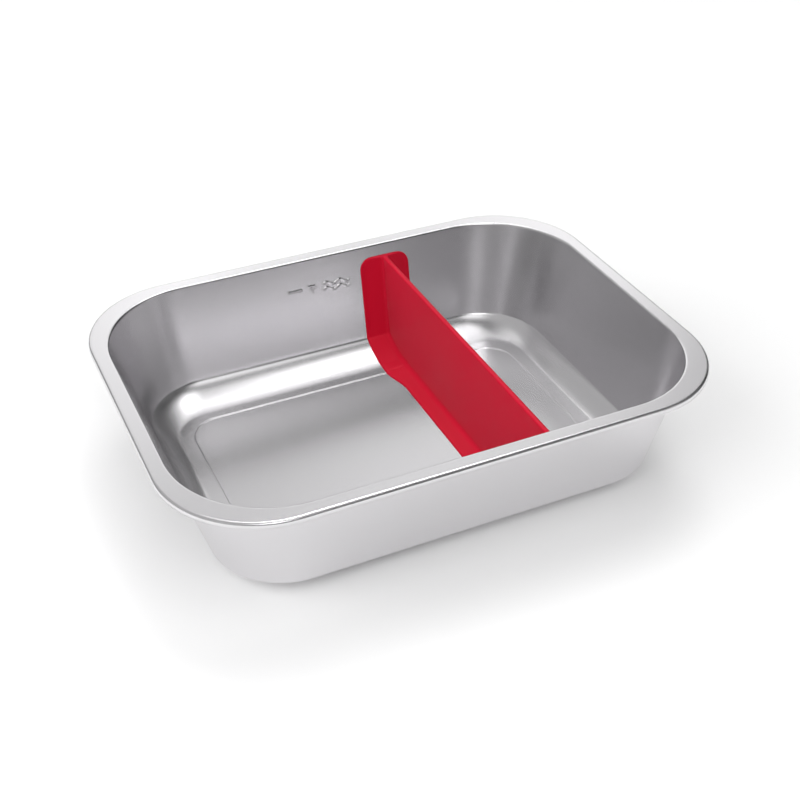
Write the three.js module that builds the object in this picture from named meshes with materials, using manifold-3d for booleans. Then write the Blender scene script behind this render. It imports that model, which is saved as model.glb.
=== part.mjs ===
// Divided tray: a deep-drawn stainless steel tray and the silicone divider that stands in it.
// Millimetres, +Z up. The origin is the centre of the base, on the surface the tray stands on.
// +X runs along the tray, +Y across it.
import * as THREE from 'three';
import { mergeVertices } from 'three/addons/utils/BufferGeometryUtils.js';
import Module from 'manifold-3d';

const wasm = await Module();
wasm.setup();

// ---- tray: driving dimensions ----
const TRAY_HEIGHT = 50;
const SHEET = 0.6;
const STEP_DEPTH = 0.3; // how far the middle of the floor is pressed below its border
const STEP_RUN = 0.5; // width of the slope between the two
const BORDER_Z = SHEET + STEP_DEPTH; // top of the floor's border
// outlines are rounded rectangles, measured on the inside of the sheet
const RIM = { length: 220, width: 163.5, corner: 38.8 }; // outer edge of the rim's flat top
const MOUTH = { length: 209.4, width: 152.9, corner: 40.5 }; // where the walls would meet the rim
const FOOT = { length: 180, width: 133.7, corner: 26.6 }; // where the walls would meet the floor
const FLOOR = { length: 164, width: 101.7, corner: 16.5 }; // where the floor turns flat
const PANEL = { length: 151.8, width: 93.6, corner: 12.6 }; // the pressed middle of the floor
const FILLET_RISE = 6.5; // height of the curve between floor and wall
const FILLET_PULL = 0.3; // how far that curve is drawn into the corner: 0 is a flat slope, 1 a parabola
const OUTSIDE_RISE = 0.4; // how much higher the curve ends on the outside of the sheet
const OUTSIDE_SHIFT = 0.17; // how much further out the panel's slope lies on the underside
const LEVEL_SHARE = 1.03; // a thickness measured level through a sloping wall, over the true one
const EDGE_RADIUS = 1.0; // bend between wall and rim, on the inside of the tray
const EDGE_REACH = 0.78; // how far that bend reaches from the corner, over its radius
const EDGE_PULL = 0.8;
const LIP_RADIUS = 1.2; // bend between rim and lip
const LIP_HEIGHT = 2.4;

// ---- divider: driving dimensions ----
const DIVIDER_X = 28.95; // the divider's place along the tray
const GAP = 0.3; // clearance between silicone and steel
const DIVIDER_TOP = 45;
const PAD_WIDTH = 23.7; // flange on the long walls
const PAD_CORNER = 5.5;
const SOLE_WIDTH = 17.6; // flange on the floor
const FLANGE = 1.7; // flange thickness beside the web
const FLANGE_EDGE = 0.9; // flange thickness at its edges
const FLANGE_ROOT = 3; // distance from the middle at which the flange starts to thin
const NARROW_FROM = 47; // distances from the middle between which the flange narrows
const NARROW_TO = 31;
const WEB_TOP = 2.1; // web thickness at its top edge and at the floor
const WEB_BASE = 2.9;

// ---- fill mark ----
const MARK_DEPTH = 14; // below the rim
const MARK_RAISE = 0.25;
const STROKE = 0.9;
const DASH = { from: -18.1, to: -11.3, y: 0.7 };
const TRIANGLE = { x: -6.6, size: 2.6, base: 0.8, tip: 0.9, inset: 1.9 * STROKE };
const RIPPLE = { from: -1, pitch: 6.4, swing: 0.7, spacing: 1.3, step: 0.8, points: 17 };

// ---- fineness of the faceted curves ----
const CORNER_STEPS = 12;
const FILLET_STEPS = 9;
const BEND_STEPS = 4;
const UNDER_STEPS = 2;
const SOLE_STEPS = 8;
const PAD_STEPS = 6;
const WELD = 1e-4; // points closer than this are one

const STEEL = new THREE.MeshStandardMaterial({ color: 0xc9c8ca, roughness: 0.28, metalness: 1 });
const SILICONE = new THREE.MeshStandardMaterial({ color: 0xb5142c, roughness: 0.5, metalness: 0 });

// ---- outlines and rings ----

const grown = (o, by) => ({ length: o.length + 2 * by, width: o.width + 2 * by, corner: o.corner + by });

const at = (outline, z) => ({ ...outline, z });

/** The weighted mean of several rings. */
function mix(rings, weights) {
  const total = weights.reduce((a, b) => a + b, 0);
  const mean = (key) => rings.reduce((sum, r, i) => sum + r[key] * weights[i], 0) / total;
  return { length: mean('length'), width: mean('width'), corner: mean('corner'), z: mean('z') };
}

/** The inside of the wall at height z; grow it for the outside. */
function wallAt(z, by = 0) {
  const share = (z - BORDER_Z) / (TRAY_HEIGHT - BORDER_Z);
  return at(grown(mix([at(MOUTH, 0), at(FOOT, 0)], [share, 1 - share]), by), z);
}

/** A conic bend from ring a to ring b, pulled towards ring corner; b is left out. */
function bend(a, corner, b, steps, pull) {
  return Array.from({ length: steps }, (_, i) => {
    const t = i / steps;
    return mix([a, corner, b], [(1 - t) ** 2, 2 * pull * t * (1 - t), t ** 2]);
  });
}

/** Rings up the inside of the tray, from the pressed panel to the bend at the rim. */
function insideRings() {
  const reach = EDGE_REACH * EDGE_RADIUS;
  const filletTop = wallAt(BORDER_Z + FILLET_RISE);
  const flange = at(grown(MOUTH, reach), TRAY_HEIGHT);
  return [
    at(grown(PANEL, -STEP_RUN / 2), SHEET),
    at(grown(PANEL, STEP_RUN / 2), BORDER_Z),
    ...bend(at(FLOOR, BORDER_Z), at(FOOT, BORDER_Z), filletTop, FILLET_STEPS, FILLET_PULL),
    filletTop,
    ...bend(wallAt(TRAY_HEIGHT - reach), at(MOUTH, TRAY_HEIGHT), flange, BEND_STEPS, EDGE_PULL),
    flange,
  ];
}

/** Rings over the rim, round the lip and back under the rim. */
function rimRings() {
  const lipZ = TRAY_HEIGHT - LIP_RADIUS;
  const lipFoot = TRAY_HEIGHT - LIP_HEIGHT;
  const round = (radius, a) => at(grown(RIM, radius * Math.sin(a)), lipZ + radius * Math.cos(a));
  const angles = Array.from({ length: BEND_STEPS + 1 }, (_, i) => (i / BEND_STEPS) * (Math.PI / 2));
  const chamfer = SHEET / 3;
  return [
    ...angles.map((a) => round(LIP_RADIUS, a)),
    at(grown(RIM, LIP_RADIUS), lipFoot + chamfer),
    at(grown(RIM, LIP_RADIUS - chamfer), lipFoot),
    at(grown(RIM, LIP_RADIUS - 2 * chamfer), lipFoot),
    at(grown(RIM, LIP_RADIUS - SHEET), lipFoot + chamfer),
    ...angles.reverse().map((a) => round(LIP_RADIUS - SHEET, a)),
  ];
}

/** Rings down the outside of the tray, from under the rim to the underside of the panel. */
function outsideRings() {
  const skin = LEVEL_SHARE * SHEET;
  const under = TRAY_HEIGHT - SHEET;
  const reach = EDGE_REACH * (EDGE_RADIUS - SHEET);
  const borderUnder = BORDER_Z - SHEET;
  const flange = at(grown(wallAt(under, skin), reach), under);
  const wallTop = wallAt(under - reach, skin);
  const filletTop = wallAt(borderUnder + FILLET_RISE + OUTSIDE_RISE, skin);
  const floor = at(FLOOR, borderUnder);
  return [
    ...bend(flange, wallAt(under, skin), wallTop, UNDER_STEPS, EDGE_PULL),
    wallTop,
    ...bend(filletTop, wallAt(borderUnder, skin), floor, FILLET_STEPS, FILLET_PULL),
    floor,
    at(grown(PANEL, STEP_RUN / 2 + OUTSIDE_SHIFT), borderUnder),
    at(grown(PANEL, -STEP_RUN / 2 + OUTSIDE_SHIFT), 0),
  ];
}

/** The points of one ring, anticlockwise from above. */
function ringPoints({ length, width, corner, z }) {
  const centres = [
    [length / 2 - corner, width / 2 - corner],
    [corner - length / 2, width / 2 - corner],
    [corner - length / 2, corner - width / 2],
    [length / 2 - corner, corner - width / 2],
  ];
  return centres.flatMap(([x, y], quarter) =>
    Array.from({ length: CORNER_STEPS + 1 }, (_, i) => {
      const a = (quarter + i / CORNER_STEPS) * (Math.PI / 2);
      return new THREE.Vector3(x + corner * Math.cos(a), y + corner * Math.sin(a), z);
    }),
  );
}

/** A closed body through loops of equal length; its two ends are capped with fans. */
function loft(loops) {
  const count = loops[0].length;
  const index = [];
  for (let row = 0; row + 1 < loops.length; row += 1) {
    for (let i = 0; i < count; i += 1) {
      const next = (i + 1) % count;
      const [a, b] = [row * count + i, row * count + next];
      const [c, d] = [a + count, b + count];
      index.push(a, c, d, a, d, b);
    }
  }
  const last = (loops.length - 1) * count;
  for (let i = 1; i + 1 < count; i += 1) {
    index.push(0, i, i + 1, last, last + i + 1, last + i);
  }
  const geometry = new THREE.BufferGeometry().setFromPoints(loops.flat());
  geometry.setIndex(index);
  return geometry;
}

// ---- joining and cutting ----

function toSolid(geometry) {
  const bare = geometry.clone();
  bare.deleteAttribute('normal');
  bare.deleteAttribute('uv');
  const merged = mergeVertices(bare, WELD);
  return new wasm.Manifold(
    new wasm.Mesh({
      numProp: 3,
      vertProperties: new Float32Array(merged.attributes.position.array),
      triVerts: new Uint32Array(merged.index.array),
    }),
  );
}

function toGeometry(solid) {
  const mesh = solid.getMesh();
  const geometry = new THREE.BufferGeometry();
  geometry.setAttribute('position', new THREE.BufferAttribute(new Float32Array(mesh.vertProperties), 3));
  geometry.setIndex(new THREE.BufferAttribute(new Uint32Array(mesh.triVerts), 1));
  geometry.computeVertexNormals();
  return geometry;
}

// ---- fill mark: a dash, a level triangle and two ripples, pressed into the far wall ----

/** A band of even width along the points, as a shape. */
function strokeShape(points) {
  const side = (sign) =>
    points.map((p, i) => {
      const before = points[Math.max(i - 1, 0)];
      const after = points[Math.min(i + 1, points.length - 1)];
      const along = after.clone().sub(before).normalize();
      return new THREE.Vector2(p.x - (sign * along.y * STROKE) / 2, p.y + (sign * along.x * STROKE) / 2);
    });
  return new THREE.Shape([...side(-1), ...side(1).reverse()]);
}

function triangleShape({ x, size, base, tip, inset }) {
  const corners = (s) => [
    new THREE.Vector2(x - s, s * base),
    new THREE.Vector2(x, -s * tip),
    new THREE.Vector2(x + s, s * base),
  ];
  const shape = new THREE.Shape(corners(size));
  shape.holes.push(new THREE.Path(corners(size - inset).reverse()));
  return shape;
}

function rippleShape(y) {
  const points = Array.from({ length: RIPPLE.points }, (_, i) => {
    const turn = (2 * Math.PI * i * RIPPLE.step) / RIPPLE.pitch;
    return new THREE.Vector2(RIPPLE.from + i * RIPPLE.step, y + RIPPLE.swing * Math.sin(turn));
  });
  return strokeShape(points);
}

function markShapes() {
  const dash = strokeShape([new THREE.Vector2(DASH.from, DASH.y), new THREE.Vector2(DASH.to, DASH.y)]);
  return [dash, triangleShape(TRIANGLE), rippleShape(RIPPLE.spacing), rippleShape(-RIPPLE.spacing)];
}

/** The mark's strokes between two depths, measured into the tray from the wall's inside face. */
function markSolid(from, to) {
  const centre = wallAt(TRAY_HEIGHT - MARK_DEPTH);
  const slope = (MOUTH.width - FOOT.width) / 2 / (TRAY_HEIGHT - BORDER_Z);
  const upWall = new THREE.Vector3(0, slope, 1).normalize();
  const along = new THREE.Vector3(1, 0, 0);
  const inward = new THREE.Vector3().crossVectors(along, upWall);
  const place = new THREE.Matrix4().makeBasis(along, upWall, inward);
  place.setPosition(0, centre.width / 2, centre.z);
  return markShapes()
    .map((shape) => {
      const geometry = new THREE.ExtrudeGeometry(shape, { depth: to - from, bevelEnabled: false });
      return toSolid(geometry.translate(0, 0, from).applyMatrix4(place));
    })
    .reduce((all, solid) => all.add(solid));
}

// ---- the two pieces ----

function trayGeometry() {
  const shell = loft([...insideRings(), ...rimRings(), ...outsideRings()].map(ringPoints));
  const raised = markSolid(-SHEET / 2, MARK_RAISE);
  const sunk = markSolid(-2 * SHEET, -SHEET + MARK_RAISE);
  return toGeometry(toSolid(shell).subtract(sunk).add(raised));
}

/** Half of the tray's inside section, from the middle of the floor to the divider's top edge. */
function sectionPoints() {
  const floorEnd = PANEL.width / 2 - STEP_RUN;
  const floor = Array.from({ length: SOLE_STEPS }, (_, i) => {
    const y = THREE.MathUtils.lerp(NARROW_TO, floorEnd, i / (SOLE_STEPS - 1));
    return new THREE.Vector2(y, SHEET);
  });
  const curve = insideRings()
    .filter((ring) => ring.z <= BORDER_Z + FILLET_RISE)
    .map((ring) => new THREE.Vector2(ring.width / 2, ring.z));
  const straight = DIVIDER_TOP - PAD_CORNER;
  const pad = Array.from({ length: PAD_STEPS + 1 }, (_, i) => {
    const z = straight + PAD_CORNER * Math.sin((i / PAD_STEPS) * (Math.PI / 2));
    return new THREE.Vector2(wallAt(z).width / 2, z);
  });
  return [...floor, ...curve, ...pad];
}

/** The same points moved off the steel by a distance: level on the straight wall, square to it below. */
function lifted(points, distance) {
  return points.map((p, i) => {
    if (p.y > BORDER_Z + FILLET_RISE) return new THREE.Vector2(p.x - LEVEL_SHARE * distance, p.y);
    const before = points[Math.max(i - 1, 0)];
    const along = points[i + 1].clone().sub(before).normalize();
    return new THREE.Vector2(p.x - along.y * distance, p.y + along.x * distance);
  });
}

/** The points without those on a straight line between their neighbours, so that an extrusion closes. */
function corners(points) {
  return points.filter((p, i) => {
    const before = points[i - 1];
    const after = points[i + 1];
    return !before || !after || Math.abs(p.clone().sub(before).cross(after.clone().sub(p))) > WELD ** 2;
  });
}

/** Half the flange's width at one point of the section. */
function flangeHalfWidth({ x, y }) {
  const intoCorner = y - (DIVIDER_TOP - PAD_CORNER);
  if (intoCorner > 0) {
    return PAD_WIDTH / 2 - PAD_CORNER + Math.sqrt(Math.max(PAD_CORNER ** 2 - intoCorner ** 2, 0));
  }
  const share = THREE.MathUtils.smoothstep(x, NARROW_TO, NARROW_FROM);
  return THREE.MathUtils.lerp(SOLE_WIDTH, PAD_WIDTH, share) / 2;
}

function dividerGeometry() {
  const half = sectionPoints();
  const mirrored = (list) => [...list.map((p) => new THREE.Vector2(-p.x, p.y)).reverse(), ...list];
  const layer = (height) => mirrored(lifted(half, GAP + height));
  const [under, edge, over, core] = [0, FLANGE_EDGE, FLANGE, FLANGE / 2].map(layer);
  const widths = [...half.map(flangeHalfWidth).reverse(), ...half.map(flangeHalfWidth)];
  const flange = loft(
    under.map((_, i) =>
      [
        [-widths[i], under],
        [widths[i], under],
        [widths[i], edge],
        [FLANGE_ROOT, over],
        [-FLANGE_ROOT, over],
        [-widths[i], edge],
      ].map(([x, line]) => new THREE.Vector3(DIVIDER_X + x, line[i].x, line[i].y)),
    ),
  );
  const web = new THREE.ExtrudeGeometry(new THREE.Shape(corners(core)), { depth: 1, bevelEnabled: false });
  const place = web.attributes.position;
  for (let i = 0; i < place.count; i += 1) {
    const [y, z, side] = [place.getX(i), place.getY(i), place.getZ(i) - 0.5];
    const thickness = THREE.MathUtils.mapLinear(z, 0, DIVIDER_TOP, WEB_BASE, WEB_TOP);
    place.setXYZ(i, DIVIDER_X + side * thickness, y, z);
  }
  return toGeometry(toSolid(flange).add(toSolid(web)));
}

const object = new THREE.Group();
object.name = 'divided_tray';

const tray = new THREE.Mesh(trayGeometry(), STEEL);
tray.name = 'steel_tray';
object.add(tray);

const divider = new THREE.Mesh(dividerGeometry(), SILICONE);
divider.name = 'silicone_divider';
object.add(divider);

export default object;
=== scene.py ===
"""Looks for the divided tray: a satin steel tray and its red silicone divider.

Shapes are worked out in millimetres in the frame's own axes and turned into metres when a mesh is made.
"""

import math

import bpy
import numpy as np
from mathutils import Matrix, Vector


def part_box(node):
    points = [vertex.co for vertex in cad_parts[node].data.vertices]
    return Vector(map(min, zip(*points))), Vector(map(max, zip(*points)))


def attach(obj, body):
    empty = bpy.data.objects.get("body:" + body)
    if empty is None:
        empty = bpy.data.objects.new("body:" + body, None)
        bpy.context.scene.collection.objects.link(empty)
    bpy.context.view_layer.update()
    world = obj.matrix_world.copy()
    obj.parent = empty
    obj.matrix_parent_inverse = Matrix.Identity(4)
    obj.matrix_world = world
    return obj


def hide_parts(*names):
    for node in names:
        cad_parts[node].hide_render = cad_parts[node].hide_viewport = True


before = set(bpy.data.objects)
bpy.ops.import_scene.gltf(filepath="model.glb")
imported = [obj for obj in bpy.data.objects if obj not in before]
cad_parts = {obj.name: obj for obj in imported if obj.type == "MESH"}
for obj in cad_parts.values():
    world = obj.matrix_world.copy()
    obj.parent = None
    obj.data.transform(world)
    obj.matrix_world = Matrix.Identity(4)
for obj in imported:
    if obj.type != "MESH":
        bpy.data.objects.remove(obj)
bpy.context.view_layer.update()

MM = 0.001


def node_box(node):
    """Lowest and highest corner of a CAD node, in millimetres."""
    low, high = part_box(node)
    return np.array(low) / MM, np.array(high) / MM


TRAY_LOW, TRAY_HIGH = node_box("steel_tray")
DIVIDER_LOW, DIVIDER_HIGH = node_box("silicone_divider")

# ---- tray: an outline is a rounded rectangle (length, width, corner radius) inside the sheet ----
TRAY_HEIGHT = TRAY_HIGH[2]
SHEET = 0.6
STEP_DEPTH = 0.3
STEP_RUN = 0.5
BORDER_Z = SHEET + STEP_DEPTH
LIP_RADIUS = 1.2
LIP_HEIGHT = 2.4
EDGE_RADIUS = 1.0
EDGE_REACH = 0.78 * EDGE_RADIUS
EDGE_PULL = 0.8
TRAY_LENGTH, TRAY_WIDTH = (TRAY_HIGH - TRAY_LOW)[:2]
RIM = np.array([TRAY_LENGTH - 2 * LIP_RADIUS, TRAY_WIDTH - 2 * LIP_RADIUS, 38.8])
MOUTH = np.array([209.4, 152.9, 40.5])
FOOT = np.array([180.0, 133.7, 26.6])
FLOOR = np.array([164.0, 101.7, 16.5])
PANEL = np.array([151.8, 93.6, 12.6])
FILLET_RISE = 6.5
FILLET_PULL = 0.3
OUTSIDE_RISE = 0.4
OUTSIDE_SHIFT = 0.17
LEVEL_SHARE = 1.03
BORDER_INSET = 0.8  # a ring on the floor's border, this far inside the fillet, keeps the border flat
RING_INSET = 0.2  # the same for the rings that keep the rim and the wall flat next to a bend

# ---- divider ----
DIVIDER_X = (DIVIDER_LOW[0] + DIVIDER_HIGH[0]) / 2
DIVIDER_TOP = DIVIDER_HIGH[2]
GAP = 0.3
PAD_WIDTH = DIVIDER_HIGH[0] - DIVIDER_LOW[0]
PAD_CORNER = 5.5
SOLE_WIDTH = 17.6
NARROW_FROM = 47
NARROW_TO = 31
FLANGE = 1.7
FLANGE_EDGE = 0.9
FLANGE_TAPER = 7
WEB_TOP = 2.1
WEB_BASE = 2.9
WEB_FILLET_LOW = 2.2  # fillet between web and flange, near the floor and further up
WEB_FILLET_HIGH = 1.2
WEB_FILLET_FROM = 6
WEB_FILLET_OVER = 10
FLANGE_ROUND = 0.35  # rounding of the flange's edge, of the top edge and of the side on the steel
TOP_ROUND = 0.5
STEEL_ROUND = 0.15

# ---- fill mark: x along the far wall, y up it from the mark's middle ----
MARK_DEPTH = 14
MARK_RAISE = 0.25
MARK_REACH = 4  # half the height of the wall's fine strip
STROKE = 0.9
STROKE_EDGE = 0.5
DASH_FROM, DASH_TO, DASH_Y = -18.1, -11.3, 0.7
TRIANGLE_X, TRIANGLE_SIZE, TRIANGLE_TOP, TRIANGLE_TIP = -6.6, 2.6, 2.1, -2.3
RIPPLE_FROM, RIPPLE_TO, RIPPLE_Y, RIPPLE_SWING = -1, 11.8, 1.3, 0.7
RIPPLE_RATE = 0.98125  # radians for each millimetre: a wave every 6.4 mm
RIPPLE_POINTS = 33

# ---- fineness of the visible meshes ----
CORNER_STEPS = 28
FILLET_STEPS = 24
BEND_STEPS = 8
UNDER_STEPS = 4  # in the bend under the rim
MARK_STEP = 0.18
NET_STEP = 0.45
STEP_STEPS = 9
SIDE_STEPS = 12


# ---------------------------------------------------------------- camera

CAMERA_HEADING = 24.95  # degrees from +Y towards +X
CAMERA_ELEVATION = 35.77  # degrees
CAMERA_DISTANCE = 0.49375  # metres from the middle of the rim
CAMERA_ASIDE = 0.00225  # metres that the camera is moved to its right, without turning
CAMERA_ABOVE = -0.0231  # metres that it is moved up
CAMERA_LENS = 55.96  # millimetres, on a sensor 36 mm wide


def make_camera():
    azimuth, elevation = math.radians(-CAMERA_HEADING), math.radians(CAMERA_ELEVATION)
    back = Vector(
        (
            math.sin(azimuth) * math.cos(elevation),
            -math.cos(azimuth) * math.cos(elevation),
            math.sin(elevation),
        )
    )
    right = Vector((0, 0, 1)).cross(back).normalized()
    up = back.cross(right)
    camera = bpy.data.objects.new("camera", bpy.data.cameras.new("camera"))
    camera.data.sensor_width = 36
    camera.data.lens = CAMERA_LENS
    camera.data.clip_start = 0.01
    rim_centre = Vector((0, 0, TRAY_HEIGHT * MM))
    camera.location = rim_centre + back * CAMERA_DISTANCE + right * CAMERA_ASIDE + up * CAMERA_ABOVE
    camera.rotation_mode = "QUATERNION"
    camera.rotation_quaternion = (-back).to_track_quat("-Z", "Y")
    bpy.context.scene.collection.objects.link(camera)
    bpy.context.scene.camera = camera


# ---------------------------------------------------------------- mesh helpers


def make_piece(name, points, faces, material, body, node):
    """A smooth mesh piece from points in millimetres that stands for a CAD node."""
    mesh = bpy.data.meshes.new(name)
    mesh.from_pydata((np.asarray(points) * MM).tolist(), [], faces)
    mesh.update()
    mesh.shade_smooth()
    piece = bpy.data.objects.new(name, mesh)
    bpy.context.scene.collection.objects.link(piece)
    mesh.materials.append(material)
    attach(piece, body)
    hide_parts(node)
    return piece


def smooth(t):
    t = np.clip(t, 0, 1)
    return t * t * (3 - 2 * t)


# ---------------------------------------------------------------- tray


def ring(outline, z, by=0.0):
    """An outline at height z, grown by a distance all round: (length, width, corner, z)."""
    return np.array([outline[0] + 2 * by, outline[1] + 2 * by, outline[2] + by, z])


def wall_at(z, by=0.0):
    share = (z - BORDER_Z) / (TRAY_HEIGHT - BORDER_Z)
    return ring(MOUTH * share + FOOT * (1 - share), z, by)


def bend(a, corner, b, steps, pull):
    """A conic bend from ring a to ring b, pulled towards ring corner; b is left out."""
    rings = []
    for t in np.arange(steps) / steps:
        weights = ((1 - t) ** 2, 2 * pull * t * (1 - t), t * t)
        rings.append(sum(w * r for w, r in zip(weights, (a, corner, b))) / sum(weights))
    return rings


def step_rings(low_z, shift=0.0):
    """The slope round the pressed panel, from its flat middle to the floor's border."""
    rings = [ring(PANEL, low_z, shift - STEP_RUN)]
    for t in np.linspace(0, 1, STEP_STEPS):
        rings.append(ring(PANEL, low_z + STEP_DEPTH * smooth(t), shift + STEP_RUN * (t - 0.5)))
    rings.append(ring(PANEL, low_z + STEP_DEPTH, shift + STEP_RUN))
    rings.append(ring(FLOOR, low_z + STEP_DEPTH, -BORDER_INSET))
    return rings


def wall_heights(low, high):
    """Heights of the wall's rings: close together across the fill mark."""
    middle = TRAY_HEIGHT - MARK_DEPTH
    below = np.linspace(low, middle - MARK_REACH, 12)
    across = np.arange(middle - MARK_REACH + MARK_STEP, middle + MARK_REACH, MARK_STEP)
    above = np.linspace(middle + MARK_REACH, high, 6)
    return np.concatenate((below, across, above))


def inside_rings():
    wall_top = TRAY_HEIGHT - EDGE_REACH
    curve_top = BORDER_Z + FILLET_RISE
    rings = step_rings(SHEET)
    rings += bend(ring(FLOOR, BORDER_Z), ring(FOOT, BORDER_Z), wall_at(curve_top), FILLET_STEPS, FILLET_PULL)
    rings += [wall_at(z) for z in wall_heights(curve_top, wall_top - RING_INSET)]
    rim_inside = ring(MOUTH, TRAY_HEIGHT, EDGE_REACH)
    rings += bend(wall_at(wall_top), ring(MOUTH, TRAY_HEIGHT), rim_inside, BEND_STEPS, EDGE_PULL)
    return rings + [rim_inside]


def rim_rings():
    lip_z, lip_foot, chamfer = TRAY_HEIGHT - LIP_RADIUS, TRAY_HEIGHT - LIP_HEIGHT, SHEET / 3
    angles = np.linspace(0, math.pi / 2, BEND_STEPS + 1)

    def rounded(radius, a):
        return ring(RIM, lip_z + radius * math.cos(a), radius * math.sin(a))

    outer = [rounded(LIP_RADIUS, a) for a in angles]
    foot = [
        ring(RIM, lip_foot + chamfer, LIP_RADIUS),
        ring(RIM, lip_foot, LIP_RADIUS - chamfer),
        ring(RIM, lip_foot, LIP_RADIUS - 2 * chamfer),
        ring(RIM, lip_foot + chamfer, LIP_RADIUS - SHEET),
    ]
    inner = [rounded(LIP_RADIUS - SHEET, a) for a in angles[::-1]]
    support = [ring(MOUTH, TRAY_HEIGHT, EDGE_RADIUS + RING_INSET), ring(RIM, TRAY_HEIGHT, -RING_INSET)]
    return support + outer + foot + inner + [ring(RIM, TRAY_HEIGHT - SHEET, -RING_INSET)]


def outside_rings():
    skin = LEVEL_SHARE * SHEET
    under = TRAY_HEIGHT - SHEET
    inner = EDGE_REACH * (EDGE_RADIUS - SHEET)
    border_under = BORDER_Z - SHEET
    curve_top = border_under + FILLET_RISE + OUTSIDE_RISE
    flange = wall_at(under, skin + inner)
    flange[3] = under
    rings = bend(flange, wall_at(under, skin), wall_at(under - inner, skin), UNDER_STEPS, EDGE_PULL)
    rings += [wall_at(z, skin) for z in wall_heights(curve_top + RING_INSET / 2, under - inner)[::-1]]
    floor = ring(FLOOR, border_under)
    rings += bend(wall_at(curve_top, skin), wall_at(border_under, skin), floor, FILLET_STEPS, FILLET_PULL)
    return rings + [floor] + step_rings(0.0, OUTSIDE_SHIFT)[::-1]


def far_wall_stations():
    """Places along the far wall's straight part: close together across the fill mark."""
    wall_end, right, left = 60, 13, -19.5
    across = np.arange(right, left, -MARK_STEP)
    return np.concatenate(
        (np.linspace(wall_end, right + 1, 9), across, np.linspace(left - 1.5, -wall_end, 8))
    )


def ring_points(r):
    """The points of one ring, anticlockwise from above, and which of them lie on the far wall."""
    length, width, corner, z = r
    a, b = length / 2 - corner, width / 2 - corner
    even = (np.arange(1, SIDE_STEPS) / SIDE_STEPS) * 2 - 1
    far = far_wall_stations()
    straights = [
        np.column_stack((far, np.full(len(far), width / 2))),
        np.column_stack((np.full(len(even), -length / 2), -even * b)),
        np.column_stack((even * a, np.full(len(even), -width / 2))),
        np.column_stack((np.full(len(even), length / 2), even * b)),
    ]
    parts = []
    for quarter, (cx, cy) in enumerate(((a, b), (-a, b), (-a, -b), (a, -b))):
        angle = (quarter + np.linspace(0, 1, CORNER_STEPS + 1)) * math.pi / 2
        parts.append(np.column_stack((cx + corner * np.cos(angle), cy + corner * np.sin(angle))))
        parts.append(straights[quarter])
    flat = np.concatenate(parts)
    on_far_wall = np.zeros(len(flat), bool)
    on_far_wall[CORNER_STEPS + 1 : CORNER_STEPS + 1 + len(far)] = True
    return np.column_stack((flat, np.full(len(flat), z))), on_far_wall


def mark_lines():
    """Centre lines of the fill mark in the wall's own plane: a dash, a level triangle, two ripples."""
    dash = np.array([(DASH_FROM, DASH_Y), (DASH_TO, DASH_Y)])
    top, tip = TRIANGLE_TOP - 0.7 * STROKE, TRIANGLE_TIP + 1.1 * STROKE
    left, right = TRIANGLE_X - TRIANGLE_SIZE + 1.1 * STROKE, TRIANGLE_X + TRIANGLE_SIZE - 1.1 * STROKE
    triangle = np.array([(left, top), (right, top), (TRIANGLE_X, tip), (left, top)])
    x = np.linspace(RIPPLE_FROM, RIPPLE_TO, RIPPLE_POINTS)
    wave = RIPPLE_SWING * np.sin((x - RIPPLE_FROM) * RIPPLE_RATE)
    ripples = [np.column_stack((x, y + wave)) for y in (RIPPLE_Y, -RIPPLE_Y)]
    return [dash, triangle, *ripples]


def distance_to_lines(points, lines):
    """Distance in the plane from each point to the nearest of several polylines."""
    best = np.full(len(points), np.inf)
    for line in lines:
        for start, end in zip(line[:-1], line[1:]):
            along = end - start
            t = np.clip((points - start) @ along / (along @ along), 0, 1)
            best = np.minimum(best, np.linalg.norm(points - start - t[:, None] * along, axis=1))
    return best


def press_mark(points, on_far_wall):
    """Presses the fill mark into the far wall, through both faces of the sheet."""
    centre = wall_at(TRAY_HEIGHT - MARK_DEPTH)
    slope = (MOUTH[1] - FOOT[1]) / 2 / (TRAY_HEIGHT - BORDER_Z)
    up_wall = np.array([0, slope, 1]) / math.hypot(slope, 1)
    inward = np.array([0, -up_wall[2], up_wall[1]])
    heights = points[:, 2]
    near = on_far_wall & (np.abs(heights - centre[3]) < MARK_REACH) & (heights > BORDER_Z + FILLET_RISE)
    offset = points[near] - np.array([0, centre[1] / 2, centre[3]])
    plane = np.column_stack((offset[:, 0], offset @ up_wall))
    share = smooth(0.5 + (STROKE / 2 - distance_to_lines(plane, mark_lines())) / STROKE_EDGE)
    points[near] += (MARK_RAISE * share)[:, None] * inward
    return points


def build_tray(material):
    rings = inside_rings() + rim_rings() + outside_rings()
    made = [ring_points(r) for r in rings]
    points = np.concatenate([p for p, _ in made])
    points = press_mark(points, np.concatenate([far for _, far in made]))
    count = len(made[0][0])
    faces = [list(range(count)), list(range((len(rings) - 1) * count, len(rings) * count))[::-1]]
    for row in range(len(rings) - 1):
        start = row * count
        for i in range(count):
            j = (i + 1) % count
            faces.append((start + i, start + count + i, start + count + j, start + j))
    make_piece("satin_steel_tray", points, faces, material, "tray", "steel_tray")


# ---------------------------------------------------------------- divider

TIE = 1e-9  # distances closer than this are equal, and the earlier side of the section counts
SECTION_TOP = TRAY_HEIGHT - 2
SECTION_END = (78.9, 60.0)  # the wall's line carried on above the tray
SECTION = np.array(
    [(0.0, SHEET)] + [(r[1] / 2, r[3]) for r in inside_rings() if r[3] < SECTION_TOP] + [SECTION_END]
)


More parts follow.
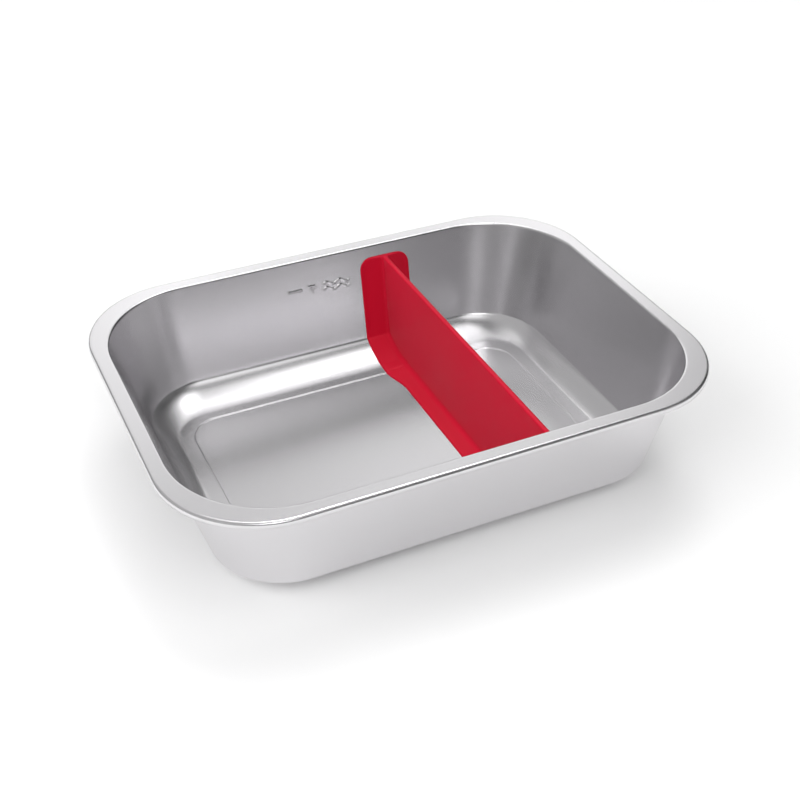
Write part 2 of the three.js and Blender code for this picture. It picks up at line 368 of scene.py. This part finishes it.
def off_steel(y, z):
    """Distance from a point across the tray to the steel's inside face, positive inside the tray."""
    y, z = np.broadcast_arrays(np.abs(y), z)
    points = np.column_stack((y.ravel(), z.ravel()))
    best = np.full(len(points), np.inf)
    side = np.ones(len(points))
    for start, end in zip(SECTION[:-1], SECTION[1:]):
        along = end - start
        offset = points - start
        t = np.clip(offset @ along / (along @ along), 0, 1)
        distance = np.linalg.norm(offset - t[:, None] * along, axis=1)
        closer = distance < best - TIE
        best[closer] = distance[closer]
        cross = along[0] * offset[:, 1] - along[1] * offset[:, 0]
        side[closer] = np.sign(cross[closer])
    return (best * side).reshape(y.shape)


def round_union(a, b, radius):
    u, v = np.maximum(radius - a, 0), np.maximum(radius - b, 0)
    return np.maximum(radius, np.minimum(a, b)) - np.hypot(u, v)


def round_meet(a, b, radius):
    """Where both a and b hold, with the edge between them rounded."""
    u, v = np.maximum(radius + a, 0), np.maximum(radius + b, 0)
    return np.minimum(-radius, np.maximum(a, b)) + np.hypot(u, v)


def divider_field(x, y, z, steel):
    """Below zero inside the divider. steel is off_steel(y, z)."""
    across = np.abs(x - DIVIDER_X)
    widening = smooth((np.abs(y) - NARROW_TO) / (NARROW_FROM - NARROW_TO))
    half_flange = (SOLE_WIDTH + (PAD_WIDTH - SOLE_WIDTH) * widening) / 2
    into_corner = np.clip(z - (DIVIDER_TOP - PAD_CORNER), 0, PAD_CORNER)
    half_flange = half_flange - PAD_CORNER + np.sqrt(PAD_CORNER**2 - into_corner**2)
    half_web = (WEB_BASE + (WEB_TOP - WEB_BASE) * z / DIVIDER_TOP) / 2
    raised = smooth((z - WEB_FILLET_FROM) / WEB_FILLET_OVER)
    fillet = WEB_FILLET_LOW - (WEB_FILLET_LOW - WEB_FILLET_HIGH) * raised
    taper = np.clip((across - half_web - fillet) / FLANGE_TAPER, 0, 1)
    thickness = FLANGE + (FLANGE_EDGE - FLANGE) * taper
    flange = round_meet(steel - GAP - thickness, across - half_flange, FLANGE_ROUND)
    body = round_union(flange, across - half_web, fillet)
    body = round_meet(body, z - DIVIDER_TOP, TOP_ROUND)
    return round_meet(body, GAP - steel, STEEL_ROUND)


def net_vertices(values, lows):
    """One vertex per grid cell that the surface crosses: the mean of its crossings of the cell's edges."""
    corners = np.array([(i, j, k) for i in (0, 1) for j in (0, 1) for k in (0, 1)])
    inside = values < 0
    shape = np.array(values.shape) - 1
    views = [inside[i : i + shape[0], j : j + shape[1], k : k + shape[2]] for i, j, k in corners]
    held = sum(v.astype(np.int8) for v in views)
    cells = np.argwhere((held > 0) & (held < 8))
    total, crossings = np.zeros((len(cells), 3)), np.zeros(len(cells))
    for a in corners:
        for axis in range(3):
            if a[axis]:
                continue
            b = a.copy()
            b[axis] = 1
            va = values[tuple((cells + a).T)]
            vb = values[tuple((cells + b).T)]
            hit = (va < 0) != (vb < 0)
            t = va[hit] / (va[hit] - vb[hit])
            total[hit] += cells[hit] + a + t[:, None] * (b - a)
            crossings[hit] += 1
    number = np.full(shape, -1)
    number[tuple(cells.T)] = np.arange(len(cells))
    return lows + NET_STEP * total / crossings[:, None], number


def net_faces(values, number):
    """A quad for each grid edge that the surface crosses, joining the four cells around that edge."""
    inside = values < 0
    faces = []
    for axis in range(3):
        u, v = (axis + 1) % 3, (axis + 2) % 3
        step = np.eye(3, dtype=int)
        first = np.take(inside, range(values.shape[axis] - 1), axis)
        second = np.take(inside, range(1, values.shape[axis]), axis)
        edges = np.argwhere(first != second)
        edges = edges[(edges[:, u] > 0) & (edges[:, v] > 0)]
        around = [edges - step[u] - step[v], edges - step[v], edges, edges - step[u]]
        quads = np.column_stack([number[tuple(c.T)] for c in around])
        outward = first[tuple(edges.T)]
        quads[~outward] = quads[~outward][:, ::-1]
        faces.append(quads)
    return np.concatenate(faces)


def onto_surface(points, field):
    """Moves points along the field's slope until they lie where it is zero."""
    reach, least_slope, longest_move = 0.02, 0.3, 0.2
    for _ in range(3):
        value = field(points)
        slope = np.column_stack([field(points + reach * e) - field(points - reach * e) for e in np.eye(3)])
        slope /= 2 * reach
        move = value[:, None] * slope / np.maximum((slope**2).sum(1), least_slope)[:, None]
        points = points - np.clip(move, -longest_move, longest_move)
    return points


def build_divider(material):
    margin = 1.5 * NET_STEP
    lows = DIVIDER_LOW - margin
    counts = np.ceil((DIVIDER_HIGH - DIVIDER_LOW + 2 * margin) / NET_STEP).astype(int) + 1
    xs, ys, zs = (lows[k] + NET_STEP * np.arange(counts[k]) for k in range(3))
    steel = off_steel(ys[:, None], zs[None, :])
    values = divider_field(xs[:, None, None], ys[None, :, None], zs[None, None, :], steel[None])
    points, number = net_vertices(values, lows)
    faces = net_faces(values, number)

    def field(p):
        return divider_field(p[:, 0], p[:, 1], p[:, 2], off_steel(p[:, 1], p[:, 2]))

    points = onto_surface(points, field)
    piece = make_piece(
        "red_silicone_divider", points, faces.tolist(), material, "divider", "silicone_divider"
    )
    piece.visible_glossy = False  # the steel shows no red reflection and no shadow of the divider
    piece.visible_shadow = False


# ---------------------------------------------------------------- materials

NOISE_LOW, NOISE_HIGH = 0.3, 0.7


class Nodes:
    """A node material with one Principled shader."""

    def __init__(self, name):
        self.material = bpy.data.materials.new(name)
        self.material.use_nodes = True
        self.tree = self.material.node_tree
        self.shader = self.tree.nodes["Principled BSDF"]

    def add(self, kind):
        return self.tree.nodes.new(kind)

    def link(self, source, target):
        self.tree.links.new(source, target)

    def set(self, **values):
        for key, value in values.items():
            self.shader.inputs[key.replace("_", " ")].default_value = value

    def noise(self, scale, detail):
        """A noise in object space; scale is in features per metre."""
        place = self.add("ShaderNodeTexCoord")
        noise = self.add("ShaderNodeTexNoise")
        noise.inputs["Scale"].default_value = scale
        noise.inputs["Detail"].default_value = detail
        self.link(place.outputs["Object"], noise.inputs["Vector"])
        return noise.outputs["Fac"]

    def between(self, factor, low, high):
        """A number from low to high as factor goes over the range that a noise really has."""
        spread = self.add("ShaderNodeMapRange")
        spread.inputs["From Min"].default_value = NOISE_LOW
        spread.inputs["From Max"].default_value = NOISE_HIGH
        spread.inputs["To Min"].default_value = low
        spread.inputs["To Max"].default_value = high
        self.link(factor, spread.inputs["Value"])
        return spread.outputs["Result"]

    def blend(self, factor, low, high):
        """A colour from low to high as factor goes over the same range."""
        ramp = self.add("ShaderNodeValToRGB")
        ramp.color_ramp.elements[0].position = NOISE_LOW
        ramp.color_ramp.elements[0].color = (*low, 1)
        ramp.color_ramp.elements[1].position = NOISE_HIGH
        ramp.color_ramp.elements[1].color = (*high, 1)
        self.link(factor, ramp.inputs["Fac"])
        return ramp.outputs["Color"]

    def bump(self, height, depth, strength):
        """A relief that is depth metres deep at full strength."""
        node = self.add("ShaderNodeBump")
        node.inputs["Distance"].default_value = depth
        node.inputs["Strength"].default_value = strength
        self.link(height, node.inputs["Height"])
        return node.outputs["Normal"]


def satin_steel():
    n = Nodes("satin_steel")
    n.set(Metallic=1.0)
    grain = n.noise(scale=1500, detail=2)
    cloud = n.noise(scale=18, detail=2)
    n.link(n.blend(cloud, (0.745, 0.735, 0.75), (0.755, 0.745, 0.76)), n.shader.inputs["Base Color"])
    n.link(n.between(grain, 0.268, 0.272), n.shader.inputs["Roughness"])
    n.link(n.bump(grain, depth=0.0000001, strength=0.3), n.shader.inputs["Normal"])
    return n.material


def red_silicone():
    n = Nodes("red_silicone")
    n.set(Specular_IOR_Level=0.18)
    cloud = n.noise(scale=25, detail=3)
    skin = n.noise(scale=5000, detail=2)
    n.link(n.blend(cloud, (0.53, 0.003, 0.023), (0.56, 0.004, 0.027)), n.shader.inputs["Base Color"])
    n.link(n.between(cloud, 0.44, 0.52), n.shader.inputs["Roughness"])
    n.link(n.bump(skin, depth=0.00001, strength=0.4), n.shader.inputs["Normal"])
    return n.material


def pale_floor():
    n = Nodes("pale_floor")
    n.set(Roughness=0.9, Specular_IOR_Level=0.1)
    cloud = n.noise(scale=2, detail=2)
    n.link(n.blend(cloud, (0.93, 0.93, 0.93), (0.94, 0.94, 0.94)), n.shader.inputs["Base Color"])
    return n.material


# ---------------------------------------------------------------- stage


def make_floor(material):
    """A plain square floor, a little below the tray so that the two faces don't touch."""
    half, drop = 6.0, 0.0002
    mesh = bpy.data.meshes.new("floor")
    corners = [(-half, -half, 0), (half, -half, 0), (half, half, 0), (-half, half, 0)]
    mesh.from_pydata(corners, [], [(0, 1, 2, 3)])
    floor = bpy.data.objects.new("floor", mesh)
    floor.location.z = -drop
    mesh.materials.append(material)
    bpy.context.scene.collection.objects.link(floor)


def direction(azimuth, elevation):
    """The way from the tray to a light. Azimuth 0 is straight on from the camera, and 90 is to its right."""
    a, e = math.radians(CAMERA_HEADING + azimuth), math.radians(elevation)
    return Vector((math.sin(a) * math.cos(e), math.cos(a) * math.cos(e), math.sin(e)))


# panels of the studio: azimuth, elevation, radius (degrees) and brightness
PANELS = (
    (0, 25, 14, 1.1),
    (-28, 27, 16, 1.0),
    (20, 25, 14, 0.4),
    (-50, 15, 16, 0.25),
    (-22, 62, 12, 1.0),
    (3, 59, 9, 5.0),
    (24, 54, 11, 0.8),
    (32, 66, 7, 4.0),
    (-108, 45, 45, 0.5),
    (-165, 0, 28, 0.4),
    (155, 36, 14, 0.8),
    (168, 50, 12, 2.5),
    (129, 72, 12, 1.5),
    (88, 30, 28, 0.15),
    (112, 12, 14, 0.6),
)
SOFT_EDGE = 0.25  # half the width of a panel's soft edge, over its radius
BACKDROP = 0.9  # brightness of what the camera sees beyond the floor
LAMP_DISTANCE = 2.5


def make_world():
    """Soft round panels in a dark studio, which itself looks plain and pale to the camera."""
    world = bpy.data.worlds.new("studio")
    world.use_nodes = True
    tree = world.node_tree
    place = tree.nodes.new("ShaderNodeTexCoord").outputs["Generated"]
    total = None
    for azimuth, elevation, radius, brightness in PANELS:
        facing = tree.nodes.new("ShaderNodeVectorMath")
        facing.operation = "DOT_PRODUCT"
        facing.inputs[1].default_value = direction(azimuth, elevation)
        tree.links.new(place, facing.inputs[0])
        panel = tree.nodes.new("ShaderNodeMapRange")
        panel.interpolation_type = "SMOOTHSTEP"
        panel.inputs["From Min"].default_value = math.cos(math.radians(radius * (1 + SOFT_EDGE)))
        panel.inputs["From Max"].default_value = math.cos(math.radians(radius * (1 - SOFT_EDGE)))
        panel.inputs["To Max"].default_value = brightness
        tree.links.new(facing.outputs["Value"], panel.inputs["Value"])
        if total is None:
            total = panel.outputs["Result"]
        else:
            both = tree.nodes.new("ShaderNodeMath")
            tree.links.new(total, both.inputs[0])
            tree.links.new(panel.outputs["Result"], both.inputs[1])
            total = both.outputs["Value"]
    path = tree.nodes.new("ShaderNodeLightPath")
    shown = tree.nodes.new("ShaderNodeMix")
    tree.links.new(path.outputs["Is Camera Ray"], shown.inputs["Factor"])
    tree.links.new(total, shown.inputs["A"])
    shown.inputs["B"].default_value = BACKDROP
    background = tree.nodes["Background"]
    background.inputs["Color"].default_value = (1, 1, 1, 1)
    tree.links.new(shown.outputs["Result"], background.inputs["Strength"])
    bpy.context.scene.world = world


def soft_light(name, azimuth, elevation, size, brightness):
    """A large square light for the floor and the silicone; it doesn't show in the steel."""
    light = bpy.data.lights.new(name, "AREA")
    light.shape = "SQUARE"
    light.size = size
    light.energy = brightness * size * size * math.pi
    lamp = bpy.data.objects.new(name, light)
    towards = direction(azimuth, elevation)
    lamp.location = towards * LAMP_DISTANCE
    lamp.rotation_mode = "QUATERNION"
    lamp.rotation_quaternion = towards.to_track_quat("Z", "Y")
    lamp.visible_glossy = False
    bpy.context.scene.collection.objects.link(lamp)


def light_studio():
    make_world()
    soft_light("overhead", azimuth=0, elevation=90, size=4.0, brightness=0.15)
    soft_light("right_fill", azimuth=115, elevation=40, size=2.4, brightness=0.9)
    soft_light("left_key", azimuth=-115, elevation=28, size=2.4, brightness=2.6)


# ---------------------------------------------------------------- the scene

make_camera()
bpy.context.scene.view_settings.view_transform = "Standard"
build_tray(satin_steel())
build_divider(red_silicone())
make_floor(pale_floor())
light_studio()
